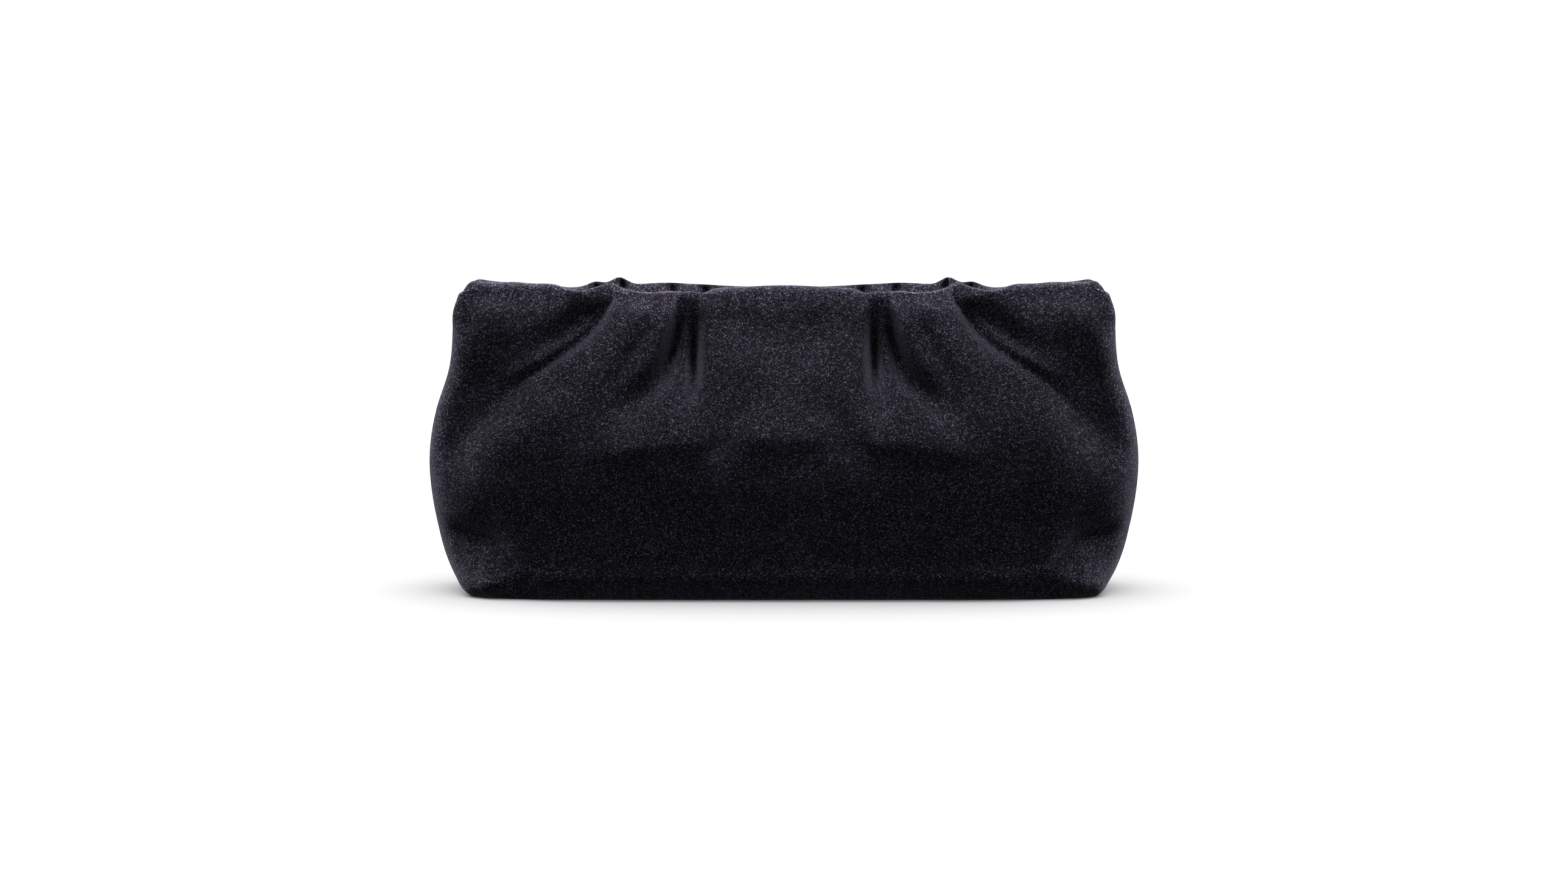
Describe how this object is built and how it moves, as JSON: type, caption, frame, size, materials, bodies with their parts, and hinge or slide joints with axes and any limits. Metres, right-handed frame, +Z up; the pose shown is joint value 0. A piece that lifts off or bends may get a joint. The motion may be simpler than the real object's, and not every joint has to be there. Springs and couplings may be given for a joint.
{
  "type": "frame clutch",
  "caption": "Soft velvet clutch with a flat base, a puffed hollow body and gathered rolled lips over a hidden hinged frame, its mouth slightly open.",
  "frame": {"origin": "on the ground under the middle of the base", "axes": "+X along the bag's width, +Y from its front to its back, +Z up"},
  "size_m": [0.2998, 0.0962, 0.1319],
  "materials": {
    "velvet": "short-pile black velvet with a violet-grey sheen",
    "frame_steel": "plain plated wire"
  },
  "bodies": {
    "root": {"front_panel": "velvet", "back_panel": "velvet", "base_panel": "velvet", "hinge_frame": "frame_steel"}
  },
  "joints": []
}
